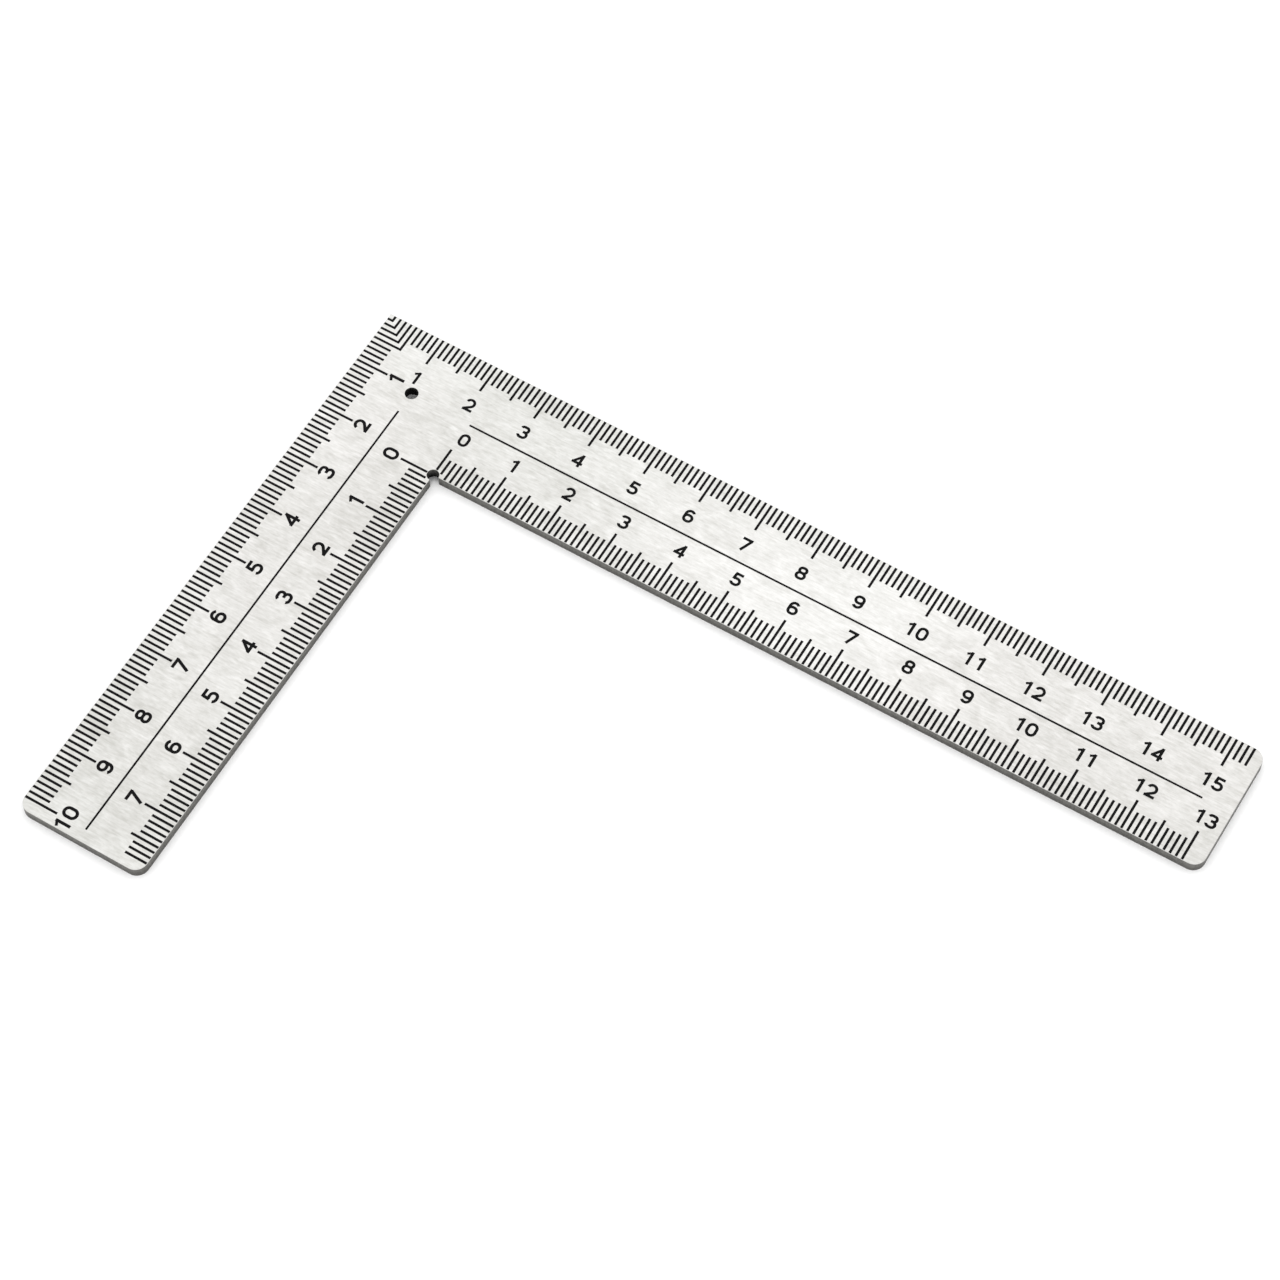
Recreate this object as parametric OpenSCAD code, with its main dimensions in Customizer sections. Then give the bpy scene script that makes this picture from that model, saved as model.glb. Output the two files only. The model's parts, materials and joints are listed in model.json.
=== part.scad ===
// Flat steel square ruler with millimetre scales on both edges of both arms.
// Millimetres. The outer corner of the rest face is the origin, the long arm runs
// along +X, the short arm along -Y, and the marked face looks up, along +Z.

/* [Blade] */
// Length of the long arm, outer corner to free end
long_arm = 155; // [100:1:300]
// Length of the short arm, outer corner to free end
short_arm = 102; // [80:1:200]
// Width of both arms
arm_width = 22; // [22:0.5:40]
// Thickness of the sheet
thickness = 2; // [1:0.1:3]
// Radius of the four corners at the free ends
end_radius = 2; // [0.5:0.5:2]
// Width of the small bevel that takes the sharpness off every outside edge
edge_break = 0.05; // [0.05:0.05:0.1]

/* [Holes] */
// Diameter of the hanging hole
hang_hole_d = 2.2; // [1.6:0.1:2.6]
// Distance of the hanging hole from both outer edges
hang_hole_inset = 11; // [10.9:0.1:11.5]
// Diameter of the relief hole at the inner corner
relief_hole_d = 2; // [1.6:0.1:2.4]

/* [Scales] */
// Width of a graduation line
line_width = 0.42; // [0.2:0.02:0.44]
// Width of the dividing lines
divider_width = 0.34; // [0.2:0.02:0.44]
// Depth of the enamel in its etched marks
enamel_depth = 0.05; // [0.02:0.01:0.1]
// Last millimetre of the long arm's outer scale, if the arm has room for it
long_outer_last = 153; // [50:1:298]
// Last millimetre of the long arm's inner scale, if the arm has room for it
long_inner_last = 130; // [20:1:258]
// Last millimetre of the short arm's outer scale, if the arm has room for it
short_outer_last = 100; // [20:1:198]
// Last millimetre of the short arm's inner scale, if the arm has room for it
short_inner_last = 78; // [20:1:158]
// Reach of a millimetre line from the outer edge of the long arm
outer_reach = 3.4; // [3:0.1:3.6]
// Reach of a millimetre line from the inner edge of the long arm
inner_reach = 3.6; // [3:0.1:3.8]
// How much further the five and ten millimetre lines reach, each time
reach_step = 0.9; // [0.5:0.1:0.9]

/* [Numerals] */
// Height of the numerals on the long arm
numeral_height = 2.4; // [1.6:0.05:2.4]
// Middle of the outer numerals, from the outer edge of the long arm
outer_row = 8.2; // [8:0.1:8.3]
// Middle of the inner numerals, from the inner edge of the long arm
inner_row = 7.8; // [7.6:0.1:7.9]

/* [Hidden] */

$fn = 64;
steel = "silver";
enamel = "#1a1a1a";

hang_hole_r = hang_hole_d / 2;
relief_r = relief_hole_d / 2;

// Lines stop just short of an edge, clear of its bevel
edge_gap = edge_break + 0.02;
// The nested corner lines take the place of the first millimetres of the outer scales
corner_count = 5;
first_outer = corner_count + 1;

// A scale that starts at a distance along an arm stops where the free end's rounding starts
function scale_end(last, arm, start = 0) = min(last, floor(arm - start - end_radius));
long_outer_end = scale_end(long_outer_last, long_arm);
long_inner_end = scale_end(long_inner_last, long_arm, arm_width);
short_outer_end = scale_end(short_outer_last, short_arm);
short_inner_end = scale_end(short_inner_last, short_arm, arm_width);

// The short arm carries the same layout, drawn larger across the arm
short_print = 1.1;
short_reach = outer_reach * short_print + 0.1;
short_reach_step = 1;
short_numeral_height = numeral_height * short_print;
short_outer_row = 7.5;
short_inner_row = 7.75;

long_divider_y = 11.4;
long_divider_x = arm_width;
long_divider_end = 10 * floor(long_outer_end / 10);
short_divider_x = 11;
short_divider_y = 14.8;
short_divider_end = 10 * floor(short_outer_end / 10);

// The first inner numeral of the long arm sits beside its line, clear of the short arm
first_inner_shift = 0.8;

// A numeral's design grid: it is drawn at this size and scaled to the wanted height
glyph_h = 2.35;
glyph_w = 1.75;
glyph_advance = 1.95;
stroke = 0.46;
half_stroke = stroke / 2;
side_r = (glyph_w - stroke) / 2;
mid_x = glyph_w / 2;
mid_y = glyph_h / 2;
small_r = 0.45;
large_r = (glyph_h - stroke) / 2 - small_r;
bowl_r = 0.55;
bowl_y = half_stroke + bowl_r;

// How far past a face a cutting body runs
over = 0.5;

// ---- Blade ----

// An arm lying along +X from the origin, on the -Y side, with both free corners rounded
module arm_outline(length) {
    translate([0, -arm_width])
        square([length - end_radius, arm_width]);
    translate([0, end_radius - arm_width])
        square([length, arm_width - 2 * end_radius]);
    for (y = [-end_radius, end_radius - arm_width])
        translate([length - end_radius, y])
            circle(end_radius);
}

// Swaps the two arms' directions: what runs along +X from the corner runs along -Y instead
module along_short_arm() {
    mirror([1, 1, 0])
        children();
}

module blade_outline() {
    arm_outline(long_arm);
    along_short_arm()
        arm_outline(short_arm);
}

// Section that cuts a bevel: X is outwards from the edge, Y is upwards from the face
module bevel_section() {
    polygon([
        [-edge_break - over / 2, over / 2],
        [over / 2, -edge_break - over / 2],
        [over / 2, over / 2],
    ]);
}

// Bevel cutter for a straight edge that runs along +X from the origin and faces +Y
module straight_bevel(length) {
    rotate([90, 0, 90])
        linear_extrude(length)
            bevel_section();
}

// Bevel cutter for the rounded corner in the first quadrant, about its centre
module corner_bevel() {
    rotate_extrude(angle = 90)
        translate([end_radius, 0])
            bevel_section();
}

// Bevel cutters for the outside edge, free end and inside edge of one arm
module arm_bevels(length) {
    translate([-over, 0, 0])
        straight_bevel(length - end_radius + over);
    translate([length - end_radius, -end_radius, 0])
        corner_bevel();
    translate([length, -end_radius, 0])
        rotate(-90)
            straight_bevel(arm_width - 2 * end_radius);
    translate([length - end_radius, end_radius - arm_width, 0])
        rotate(-90)
            corner_bevel();
    translate([length - end_radius, -arm_width, 0])
        rotate(180)
            straight_bevel(length - end_radius - arm_width);
}

module face_bevels() {
    arm_bevels(long_arm);
    along_short_arm()
        arm_bevels(short_arm);
}

module blade() {
    color(steel)
        difference() {
            linear_extrude(thickness)
                blade_outline();
            translate([0, 0, thickness])
                face_bevels();
            mirror([0, 0, 1])
                face_bevels();
            translate([hang_hole_inset, -hang_hole_inset, -over])
                cylinder(h = thickness + 2 * over, r = hang_hole_r);
            translate([arm_width, -arm_width, -over])
                cylinder(h = thickness + 2 * over, r = relief_r);
            translate([0, 0, thickness - enamel_depth])
                linear_extrude(enamel_depth + over)
                    all_marks();
        }
}

module all_marks() {
    corner_marks();
    long_outer_marks();
    long_inner_marks();
    long_divider();
    long_outer_labels();
    long_inner_labels();
    short_outer_marks();
    short_inner_marks();
    short_divider();
    short_outer_labels();
    short_inner_labels();
}

// ---- Graduations ----

// Reach of the line at millimetre k: ten, five and one millimetre lines differ
function reach(k, shortest, step) =
    shortest + (k % 10 == 0 ? 2 * step : k % 5 == 0 ? step : 0);

// Where an inner line starts, so that it also clears the relief hole
function inner_start(k) =
    k - line_width / 2 < relief_r + edge_gap
        ? sqrt(pow(relief_r + edge_gap, 2) - pow(max(k - line_width / 2, 0), 2))
        : edge_gap;

// A line across the arm at x, between two distances from the outer edge
module cross_line(x, near, far) {
    translate([x - line_width / 2, -far])
        square([line_width, far - near]);
}

// A scale measured from the outer corner, for the arm along +X
module outer_scale(last, shortest, step) {
    for (k = [first_outer : last])
        cross_line(k, edge_gap, reach(k, shortest, step));
}

// A scale measured from the inner corner, for the arm along +X
module inner_scale(last, shortest, step) {
    for (k = [0 : last])
        cross_line(
            arm_width + k,
            arm_width - reach(k, shortest, step),
            arm_width - inner_start(k)
        );
}

// Nested right angles that share both outer scales' first millimetres
module corner_marks() {
    for (k = [1 : corner_count]) {
        cross_line(k, edge_gap, k + line_width / 2);
        translate([edge_gap, -k - line_width / 2])
            square([k + line_width / 2 - edge_gap, line_width]);
    }
}

module long_outer_marks() {
    outer_scale(long_outer_end, outer_reach, reach_step);
}

module long_inner_marks() {
    inner_scale(long_inner_end, inner_reach, reach_step);
}

module short_outer_marks() {
    along_short_arm()
        outer_scale(short_outer_end, short_reach, short_reach_step);
}

module short_inner_marks() {
    along_short_arm()
        inner_scale(short_inner_end, short_reach + 0.1, short_reach_step);
}

module long_divider() {
    translate([long_divider_x, -long_divider_y - divider_width / 2])
        square([long_divider_end - long_divider_x, divider_width]);
}

module short_divider() {
    translate([short_divider_x - divider_width / 2, -short_divider_end])
        square([divider_width, short_divider_end - short_divider_y]);
}

// ---- Numerals ----

// A straight stroke from p to q
module bar(p, q, width = stroke) {
    d = q - p;
    translate(p)
        rotate(atan2(d[1], d[0]))
            translate([0, -width / 2])
                square([norm(d), width]);
}

// A curved stroke of radius r about c, from angle a to angle b
module arc(c, r, a, b) {
    far = 2 * r;
    mid = (a + b) / 2;
    translate(c)
        intersection() {
            difference() {
                circle(r + half_stroke);
                circle(r - half_stroke);
            }
            polygon([
                [0, 0],
                far * [cos(a), sin(a)],
                2 * far * [cos((a + mid) / 2), sin((a + mid) / 2)],
                2 * far * [cos((b + mid) / 2), sin((b + mid) / 2)],
                far * [cos(b), sin(b)],
            ]);
        }
}

// A closed loop: two half rings, the straight sides between them half_length from c
module loop(c, r, half_length) {
    arc(c + [half_length, 0], r, -90, 90);
    arc(c - [half_length, 0], r, 90, 270);
    for (y = [-r, r])
        bar(c + [-half_length, y], c + [half_length, y]);
}

module digit_0() {
    translate([mid_x, mid_y])
        rotate(90)
            loop([0, 0], side_r, mid_y - half_stroke - side_r);
}

module digit_1() {
    stem_x = 1.08;
    bar([stem_x, 0], [stem_x, glyph_h]);
    bar([0.34, glyph_h - 0.62], [stem_x, glyph_h - 0.22], 0.4);
}

module digit_2() {
    top = [mid_x, glyph_h - half_stroke - side_r];
    turn = -53;
    arc(top, side_r, turn, 165);
    bar([0.28, half_stroke], top + side_r * [cos(turn), sin(turn)]);
    bar([0.1, half_stroke], [glyph_w, half_stroke]);
}

module digit_3() {
    x = glyph_w - half_stroke;
    top_y = glyph_h - half_stroke - small_r;
    low_y = half_stroke + large_r;
    join_y = low_y + large_r;
    arc([x - 0.08 - small_r, top_y], small_r, -90, 90);
    arc([0.62, top_y], small_r, 90, 160);
    bar([0.62, top_y + small_r], [x - 0.08 - small_r, top_y + small_r]);
    bar([0.7, join_y], [x - large_r, join_y]);
    arc([x - large_r, low_y], large_r, -90, 90);
    arc([0.68, low_y], large_r, 195, 270);
    bar([0.68, half_stroke], [x - large_r, half_stroke]);
}

module digit_4() {
    stem_x = 1.3;
    cross_y = 0.68;
    bar([stem_x, 0], [stem_x, glyph_h]);
    bar([0, cross_y], [glyph_w + 0.05, cross_y]);
    bar([half_stroke, cross_y], [stem_x, glyph_h - half_stroke]);
}

module digit_5() {
    left = 0.24;
    x = glyph_w - half_stroke - bowl_r;
    bar([left, glyph_h - half_stroke], [glyph_w - 0.15, glyph_h - half_stroke]);
    bar([left + 0.12, bowl_y + 0.3], [left + 0.21, glyph_h - half_stroke]);
    arc([x, bowl_y], bowl_r, -90, 90);
    arc([0.75, bowl_y], bowl_r, 90, 138);
    arc([0.75, bowl_y], bowl_r, 200, 270);
    for (y = [-bowl_r, bowl_r])
        bar([0.75, bowl_y + y], [x, bowl_y + y]);
}

module digit_6() {
    top_y = glyph_h - half_stroke - side_r;
    loop([mid_x, bowl_y], bowl_r, side_r - bowl_r);
    bar([half_stroke, bowl_y], [half_stroke, top_y]);
    arc([mid_x, top_y], side_r, 35, 180);
}

module digit_7() {
    bar([0.08, glyph_h - half_stroke], [glyph_w, glyph_h - half_stroke]);
    bar([0.62, 0], [glyph_w - 0.2, glyph_h - half_stroke]);
}

module digit_8() {
    loop([mid_x, half_stroke + large_r], large_r, side_r - large_r);
    loop([mid_x, glyph_h - half_stroke - small_r], small_r, side_r - 0.08 - small_r);
}

module digit_9() {
    translate([glyph_w, glyph_h])
        rotate(180)
            digit_6();
}

module digit(n) {
    if (n == 0) digit_0();
    if (n == 1) digit_1();
    if (n == 2) digit_2();
    if (n == 3) digit_3();
    if (n == 4) digit_4();
    if (n == 5) digit_5();
    if (n == 6) digit_6();
    if (n == 7) digit_7();
    if (n == 8) digit_8();
    if (n == 9) digit_9();
}

// A whole number of one or two digits, centred on the origin
module numeral(n, height) {
    digits = n < 10 ? [n] : [floor(n / 10), n % 10];
    width = (len(digits) - 1) * glyph_advance + glyph_w;
    scale(height / glyph_h)
        translate([-width / 2, -mid_y])
            for (i = [0 : len(digits) - 1])
                translate([i * glyph_advance, 0])
                    digit(digits[i]);
}

module long_outer_labels() {
    for (n = [1 : floor(long_outer_end / 10)])
        translate([10 * n, -outer_row])
            numeral(n, numeral_height);
}

module long_inner_labels() {
    for (n = [0 : floor(long_inner_end / 10)])
        translate([arm_width + 10 * n + (n == 0 ? first_inner_shift : 0), inner_row - arm_width])
            numeral(n, numeral_height);
}

// The short arm's numerals are read from its free end towards the corner
module short_outer_labels() {
    for (n = [1 : floor(short_outer_end / 10)])
        translate([short_outer_row, -10 * n])
            rotate(90)
                numeral(n, short_numeral_height);
}

module short_inner_labels() {
    for (n = [0 : floor(short_inner_end / 10)])
        translate([arm_width - short_inner_row, -arm_width - 10 * n])
            rotate(90)
                numeral(n, short_numeral_height);
}

// ---- Enamel nodes ----

// Enamel filling an etched mark, level with the marked face
module fill() {
    color(enamel)
        translate([0, 0, thickness - enamel_depth])
            linear_extrude(enamel_depth)
                children();
}

module corner_graduations() {
    fill() corner_marks();
}

module long_outer_graduations() {
    fill() long_outer_marks();
}

module long_inner_graduations() {
    fill() long_inner_marks();
}

module long_divider_line() {
    fill() long_divider();
}

module long_outer_numerals() {
    fill() long_outer_labels();
}

module long_inner_numerals() {
    fill() long_inner_labels();
}

module short_outer_graduations() {
    fill() short_outer_marks();
}

module short_inner_graduations() {
    fill() short_inner_marks();
}

module short_divider_line() {
    fill() short_divider();
}

module short_outer_numerals() {
    fill() short_outer_labels();
}

module short_inner_numerals() {
    fill() short_inner_labels();
}

blade();
corner_graduations();
long_outer_graduations();
long_inner_graduations();
long_divider_line();
long_outer_numerals();
long_inner_numerals();
short_outer_graduations();
short_inner_graduations();
short_divider_line();
short_outer_numerals();
short_inner_numerals();
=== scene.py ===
import json
import math

import bpy
from mathutils import Matrix, Vector


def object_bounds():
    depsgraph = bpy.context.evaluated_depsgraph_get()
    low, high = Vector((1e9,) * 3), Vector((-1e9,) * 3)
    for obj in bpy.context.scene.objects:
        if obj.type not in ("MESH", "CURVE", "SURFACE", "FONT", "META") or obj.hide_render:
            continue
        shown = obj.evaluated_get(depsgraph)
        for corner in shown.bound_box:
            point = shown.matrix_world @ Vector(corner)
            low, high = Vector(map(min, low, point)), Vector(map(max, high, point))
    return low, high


# The photograph's view, in the row frame: azimuth 0 looks along +Y. Angles in degrees, distance in metres
VIEW_AZIMUTH = 32.35
VIEW_ELEVATION = 60.58
VIEW_ROLL = -1.485
VIEW_DISTANCE = 0.5887
LENS = 109.45
SENSOR_WIDTH = 36.0
NEAR_LIMIT = 0.01
# Where the optical axis meets the marked face, as a share of the CAD box
AIM = (0.418, 0.698, 1.0)

FLOOR_SIZE = 12.0
# Strength of the surround, and the heights on the unit sphere between which it changes
OVERHEAD_LIGHT = 1.48
HORIZON_LIGHT = 0.85
OVERHEAD_FROM = 0.75
HORIZON_TO = 0.15

# Linear colours of the bare metal, of the cut walls (darkened partly as painted shade), and of places
# that light barely reaches
STEEL_DARK = (0.466, 0.463, 0.442, 1.0)
STEEL_LIGHT = (0.700, 0.698, 0.690, 1.0)
STEEL_TINTS = ((0.993, 1.0, 0.985, 1.0), (1.0, 0.99, 0.982, 1.0))
WALL_SHADED_DARK = (0.12, 0.117, 0.108, 1.0)
WALL_SHADED_LIGHT = (0.23, 0.226, 0.213, 1.0)
TORN_SHADE = (0.8, 0.8, 0.8, 1.0)
HOLE_DARK = (0.012, 0.012, 0.012, 1.0)
# Brings a bright patch of the steel to the middle of the long arm, and a dull one to the corner
PATCH_SHIFT = (6.25, -7.25, 0.0)

ENAMEL_DARK = (0.0015, 0.0015, 0.0016, 1.0)
ENAMEL_LIGHT = (0.005, 0.005, 0.0052, 1.0)
ENAMEL_WORN = (0.03, 0.03, 0.031, 1.0)
PAPER_DARK = (0.93, 0.93, 0.93, 1.0)
PAPER_LIGHT = (0.95, 0.95, 0.95, 1.0)
WHITE = (1.0, 1.0, 1.0, 1.0)

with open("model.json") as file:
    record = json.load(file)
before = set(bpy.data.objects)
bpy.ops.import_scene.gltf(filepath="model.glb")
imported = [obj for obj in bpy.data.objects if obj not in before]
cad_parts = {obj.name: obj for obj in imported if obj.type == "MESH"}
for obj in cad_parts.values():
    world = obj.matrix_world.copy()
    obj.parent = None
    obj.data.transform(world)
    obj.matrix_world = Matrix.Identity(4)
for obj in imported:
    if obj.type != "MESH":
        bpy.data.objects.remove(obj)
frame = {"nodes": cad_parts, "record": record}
cad_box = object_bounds()
SHEET = cad_box[1][2] - cad_box[0][2]


# ---- Node helpers ----

# Nearly all of a noise lies between these
NOISE_LOW = 0.3
NOISE_HIGH = 0.7

# The Mix node has sockets of its own for numbers and for colours, told apart only by their index
MIX_FACTOR = 0
MIX_NUMBERS = (2, 3)
MIX_COLOURS = (6, 7)
MIX_COLOUR_OUTPUT = 2


class Shader:
    """A node material under construction. Most methods add nodes and return the last one's output."""

    def __init__(self, name):
        self.material = bpy.data.materials.new(name)
        self.material.use_nodes = True
        self.tree = self.material.node_tree
        self.bsdf = self.tree.nodes["Principled BSDF"]

    def add(self, kind, inputs, output=0, **settings):
        node = self.tree.nodes.new("ShaderNode" + kind)
        for name, value in settings.items():
            setattr(node, name, value)
        for key, value in inputs.items():
            self.connect(node.inputs[key], value)
        return node.outputs[output]

    def connect(self, socket, value):
        if isinstance(value, bpy.types.NodeSocket):
            self.tree.links.new(value, socket)
        else:
            socket.default_value = value

    def set(self, **inputs):
        for name, value in inputs.items():
            self.connect(self.bsdf.inputs[name.replace("_", " ")], value)

    def place(self):
        """Position in the row frame, in metres."""
        return self.add("TexCoord", {}, output="Object")

    def noise(self, per_metre, detail=2.0, roughness=0.5, warp=0.0, shift=(0.0, 0.0, 0.0)):
        """Noise with its own frequency along each axis, in cells per metre. The shift is in cells."""
        mapping = {"Vector": self.place(), "Location": shift, "Scale": per_metre}
        inputs = {
            "Vector": self.add("Mapping", mapping),
            "Scale": 1.0,
            "Detail": detail,
            "Roughness": roughness,
            "Distortion": warp,
        }
        return self.add("TexNoise", inputs)

    def spread(self, value, low, high, to_low, to_high):
        """Maps low..high onto to_low..to_high, and holds the ends beyond it."""
        inputs = {
            "Value": value,
            "From Min": low,
            "From Max": high,
            "To Min": to_low,
            "To Max": to_high,
        }
        return self.add("MapRange", inputs)

    def stretch(self, noise, to_low, to_high):
        """Maps a noise onto to_low..to_high."""
        return self.spread(noise, NOISE_LOW, NOISE_HIGH, to_low, to_high)

    def math(self, operation, a, b):
        return self.add("Math", {0: a, 1: b}, operation=operation)

    def total(self, first, *rest):
        for value in rest:
            first = self.math("ADD", first, value)
        return first

    def mix_colours(self, factor, a, b, blend_type):
        socket_a, socket_b = MIX_COLOURS
        inputs = {MIX_FACTOR: factor, socket_a: a, socket_b: b}
        settings = {"data_type": "RGBA", "blend_type": blend_type}
        return self.add("Mix", inputs, output=MIX_COLOUR_OUTPUT, **settings)

    def multiply(self, a, b):
        """Product of two colours."""
        return self.mix_colours(1.0, a, b, "MULTIPLY")

    def blend(self, factor, a, b):
        """Colour a where factor is 0, colour b where it is 1."""
        return self.mix_colours(factor, a, b, "MIX")

    def mix_numbers(self, factor, a, b):
        """Number a where factor is 0, number b where it is 1."""
        socket_a, socket_b = MIX_NUMBERS
        inputs = {MIX_FACTOR: factor, socket_a: a, socket_b: b}
        return self.add("Mix", inputs, data_type="FLOAT")

    def bump(self, height, strength, distance, normal=None):
        inputs = {"Height": height, "Strength": strength, "Distance": distance}
        if normal is not None:
            inputs["Normal"] = normal
        return self.add("Bump", inputs)

    def flatness(self):
        """0 where the surface stands upright, 1 where it lies flat."""
        normal = self.add("NewGeometry", {}, output="Normal")
        upward = self.add("SeparateXYZ", {0: normal}, output="Z")
        return self.math("ABSOLUTE", upward, 0.0)

    def openness(self, distance):
        """1 in the open, towards 0 deep in a hole that is narrower than distance, in metres."""
        return self.add("AmbientOcclusion", {"Distance": distance}, output="AO", samples=8)


# ---- Materials ----

def steel_face(s, grain, streaks):
    """Colour of the two faces: short streaks along the long arm over cloudy patches."""
    lines = s.stretch(grain, -0.035, 0.035)
    dashes = s.stretch(streaks, -0.11, 0.11)
    fine = s.noise((900.0, 1800.0, 900.0), detail=4.0, roughness=0.65)
    specks = s.stretch(fine, -0.06, 0.06)
    middling = s.noise((180.0, 300.0, 180.0), detail=5.0, roughness=0.6, warp=1.2)
    clouds = s.stretch(middling, -0.09, 0.09)
    broad = s.noise((16.0, 26.0, 16.0), detail=1.0, shift=PATCH_SHIFT)
    patches = s.stretch(broad, -0.1, 0.1)
    tone = s.total(lines, dashes, specks, clouds, patches)
    metal = s.blend(s.spread(tone, -0.2, 0.2, 0.0, 1.0), STEEL_DARK, STEEL_LIGHT)
    drift = s.spread(s.noise((12.0, 12.0, 12.0), detail=1.0), 0.35, 0.65, 0.0, 1.0)
    return s.multiply(metal, s.blend(drift, *STEEL_TINTS))


def shaded_steel_wall(s, shear):
    """Colour of the sheared edges: burnished near the marked face, torn and darker below, the whole wall
    darkened further as painted shade, and near black as painted shade deep in the holes.
    """
    height = s.add("SeparateXYZ", {0: s.place()}, output="Z")
    torn_line = s.stretch(s.noise((900.0, 900.0, 90.0), detail=3.0), 0.35, 0.6)
    share = s.math("DIVIDE", height, SHEET)
    torn = s.spread(s.math("SUBTRACT", share, torn_line), -0.06, 0.06, 1.0, 0.0)
    # Painted shade: the upright walls get a much darker copy of the steel, only partly from their cut
    # finish
    streaked = s.blend(s.stretch(shear, 0.0, 1.0), WALL_SHADED_DARK, WALL_SHADED_LIGHT)
    sheared = s.blend(torn, streaked, s.multiply(streaked, TORN_SHADE))
    lit = s.spread(s.openness(1.5 * SHEET), 0.25, 0.5, 0.0, 1.0)
    return s.blend(lit, HOLE_DARK, sheared)


def brushed_steel():
    """Satin sheet, ground in fine lines along the long arm, with a painted highlight on the edge bevel
    and darker sheared edges, their darkness partly the cut finish and partly painted shade.
    """
    s = Shader("brushed_steel")
    grain = s.noise((120.0, 7000.0, 120.0), detail=3.0, roughness=0.6)
    streaks = s.noise((420.0, 3000.0, 420.0), detail=4.0, roughness=0.65, warp=0.4)
    shear = s.noise((2600.0, 2600.0, 260.0), detail=4.0, roughness=0.7)
    flatness = s.flatness()
    on_wall = s.spread(flatness, 0.3, 0.6, 1.0, 0.0)
    # Painted highlight: the narrow bevel along the top edge is lifted towards the light steel colour
    bevel_highlight = s.spread(flatness, 0.75, 0.95, 0.4, 0.0)

    face = s.blend(bevel_highlight, steel_face(s, grain, streaks), STEEL_LIGHT)
    face_rough = s.spread(s.math("ADD", grain, streaks), 0.7, 1.3, 0.32, 0.46)
    wall_rough = s.stretch(shear, 0.5, 0.7)
    rough = s.mix_numbers(on_wall, face_rough, wall_rough)
    relief = s.bump(grain, 0.35, 0.000004)
    relief = s.bump(streaks, 0.3, 0.000006, relief)
    relief = s.bump(s.math("MULTIPLY", shear, on_wall), 0.5, 0.00002, relief)
    # The upright walls take the darker wall colour, which is partly painted shade
    colour = s.blend(on_wall, face, shaded_steel_wall(s, shear))
    s.set(Base_Color=colour, Metallic=1.0, Roughness=rough, Normal=relief)
    return s.material


def black_enamel():
    """Matt black paint lying in etched marks, slightly uneven, rubbed a little thin in places."""
    s = Shader("black_enamel")
    cloud = s.noise((1400.0, 1400.0, 1400.0), detail=4.0, roughness=0.6)
    rubbed = s.noise((260.0, 900.0, 260.0), detail=5.0, roughness=0.7)
    body = s.blend(s.stretch(cloud, 0.0, 1.0), ENAMEL_DARK, ENAMEL_LIGHT)
    worn = s.spread(rubbed, 0.62, 0.8, 0.0, 0.5)
    s.set(
        Base_Color=s.blend(worn, body, ENAMEL_WORN),
        Roughness=s.stretch(cloud, 0.55, 0.75),
        Normal=s.bump(cloud, 0.4, 0.00001),
        Specular_IOR_Level=0.08,
    )
    return s.material


def pale_floor():
    """Pale paper, its tone falling off where almost no light can reach, as in the holes."""
    s = Shader("pale_floor")
    faint = s.noise((9.0, 9.0, 9.0), detail=3.0)
    paper = s.blend(faint, PAPER_DARK, PAPER_LIGHT)
    lit = s.spread(s.openness(SHEET), 0.2, 0.42, 0.0, 1.0)
    s.set(Base_Color=s.blend(lit, HOLE_DARK, paper), Roughness=0.8)
    return s.material


# ---- The object ----

def finish_nodes():
    """Gives every CAD node the material that its record names."""
    finishes = {"brushed_steel": brushed_steel(), "black_enamel": black_enamel()}
    for part in frame["record"]["subparts"]:
        finish = finishes[part["material_slot"]]
        for slot in frame["nodes"][part["node"]].material_slots:
            slot.material = finish


# ---- Stage ----

def direction(azimuth, elevation):
    """Unit vector away from the object. Azimuth 0 is on the -Y side, 90 on the +X side."""
    a = math.radians(azimuth)
    e = math.radians(elevation)
    return Vector((math.sin(a) * math.cos(e), -math.cos(a) * math.cos(e), math.sin(e)))


def make_floor(height):
    bpy.ops.mesh.primitive_plane_add(size=FLOOR_SIZE, location=(0, 0, height))
    floor = bpy.context.object
    floor.name = "floor"
    floor.data.materials.append(pale_floor())


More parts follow.
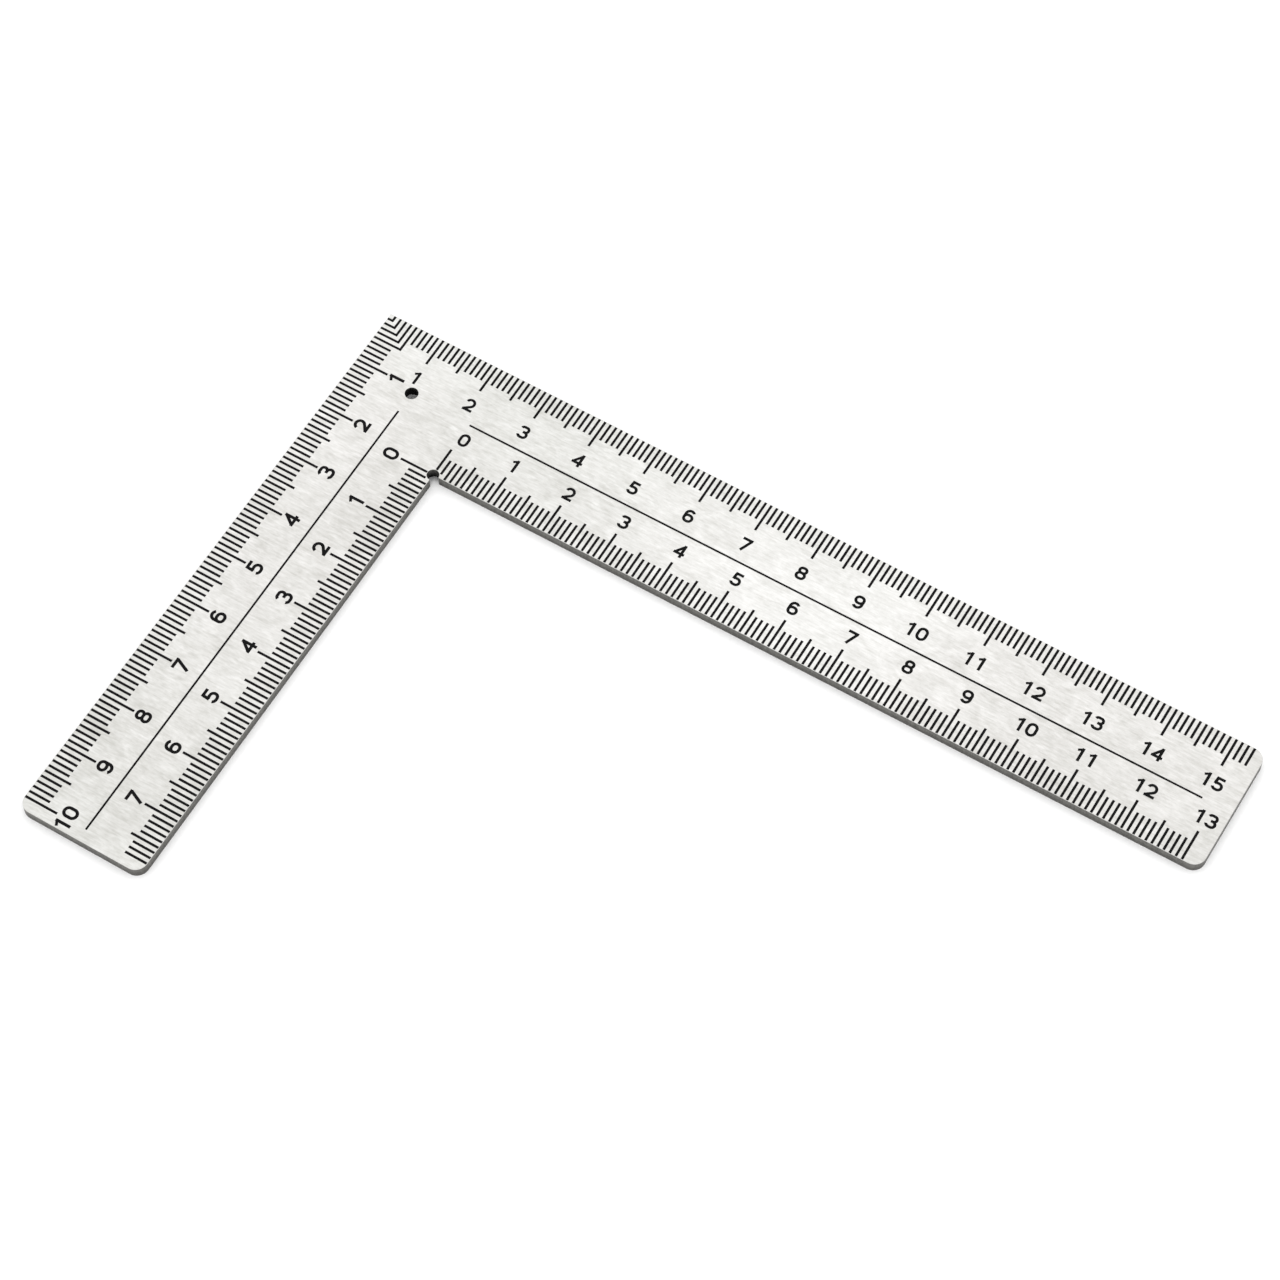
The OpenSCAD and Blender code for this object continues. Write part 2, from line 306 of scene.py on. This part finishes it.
def make_world():
    """White surround, full above and weaker near the horizon, so that low views keep contrast."""
    world = bpy.data.worlds.new("studio")
    world.use_nodes = True
    nodes = world.node_tree.nodes
    links = world.node_tree.links
    ray = nodes.new("ShaderNodeTexCoord")
    upward = nodes.new("ShaderNodeSeparateXYZ")
    strength = nodes.new("ShaderNodeMapRange")
    bounds = {
        "From Min": HORIZON_TO,
        "From Max": OVERHEAD_FROM,
        "To Min": HORIZON_LIGHT,
        "To Max": OVERHEAD_LIGHT,
    }
    for key, value in bounds.items():
        strength.inputs[key].default_value = value
    background = nodes["Background"]
    background.inputs["Color"].default_value = WHITE
    links.new(ray.outputs["Generated"], upward.inputs[0])
    links.new(upward.outputs["Z"], strength.inputs[0])
    links.new(strength.outputs[0], background.inputs["Strength"])
    bpy.context.scene.world = world


def make_softbox(name, target, azimuth, elevation, distance, size, power):
    """A square area light facing target."""
    towards = direction(azimuth, elevation)
    data = bpy.data.lights.new(name, "AREA")
    data.shape = "SQUARE"
    data.size = size
    data.energy = power
    light = bpy.data.objects.new(name, data)
    light.location = target + towards * distance
    light.rotation_euler = towards.to_track_quat("Z", "Y").to_euler()
    bpy.context.scene.collection.objects.link(light)


def make_camera(target):
    back = direction(VIEW_AZIMUTH, VIEW_ELEVATION)
    data = bpy.data.cameras.new("camera")
    data.lens = LENS
    data.sensor_width = SENSOR_WIDTH
    data.clip_start = NEAR_LIMIT
    camera = bpy.data.objects.new("camera", data)
    roll = Matrix.Rotation(math.radians(VIEW_ROLL), 3, "Z")
    turn = back.to_track_quat("Z", "Y").to_matrix() @ roll
    camera.matrix_world = Matrix.Translation(target + back * VIEW_DISTANCE) @ turn.to_4x4()
    bpy.context.scene.collection.objects.link(camera)
    bpy.context.scene.camera = camera


def share_of_box(share):
    """A point of the CAD box, given as a share of its length, width and height."""
    low, high = cad_box
    return Vector(start + (end - start) * part for start, end, part in zip(low, high, share))


finish_nodes()
middle = share_of_box((0.5, 0.5, 0.0))
make_floor(middle.z)
make_world()
make_softbox("key", middle, azimuth=200, elevation=25, distance=0.9, size=0.5, power=0.6)
make_camera(share_of_box(AIM))
bpy.context.scene.view_settings.view_transform = "Standard"
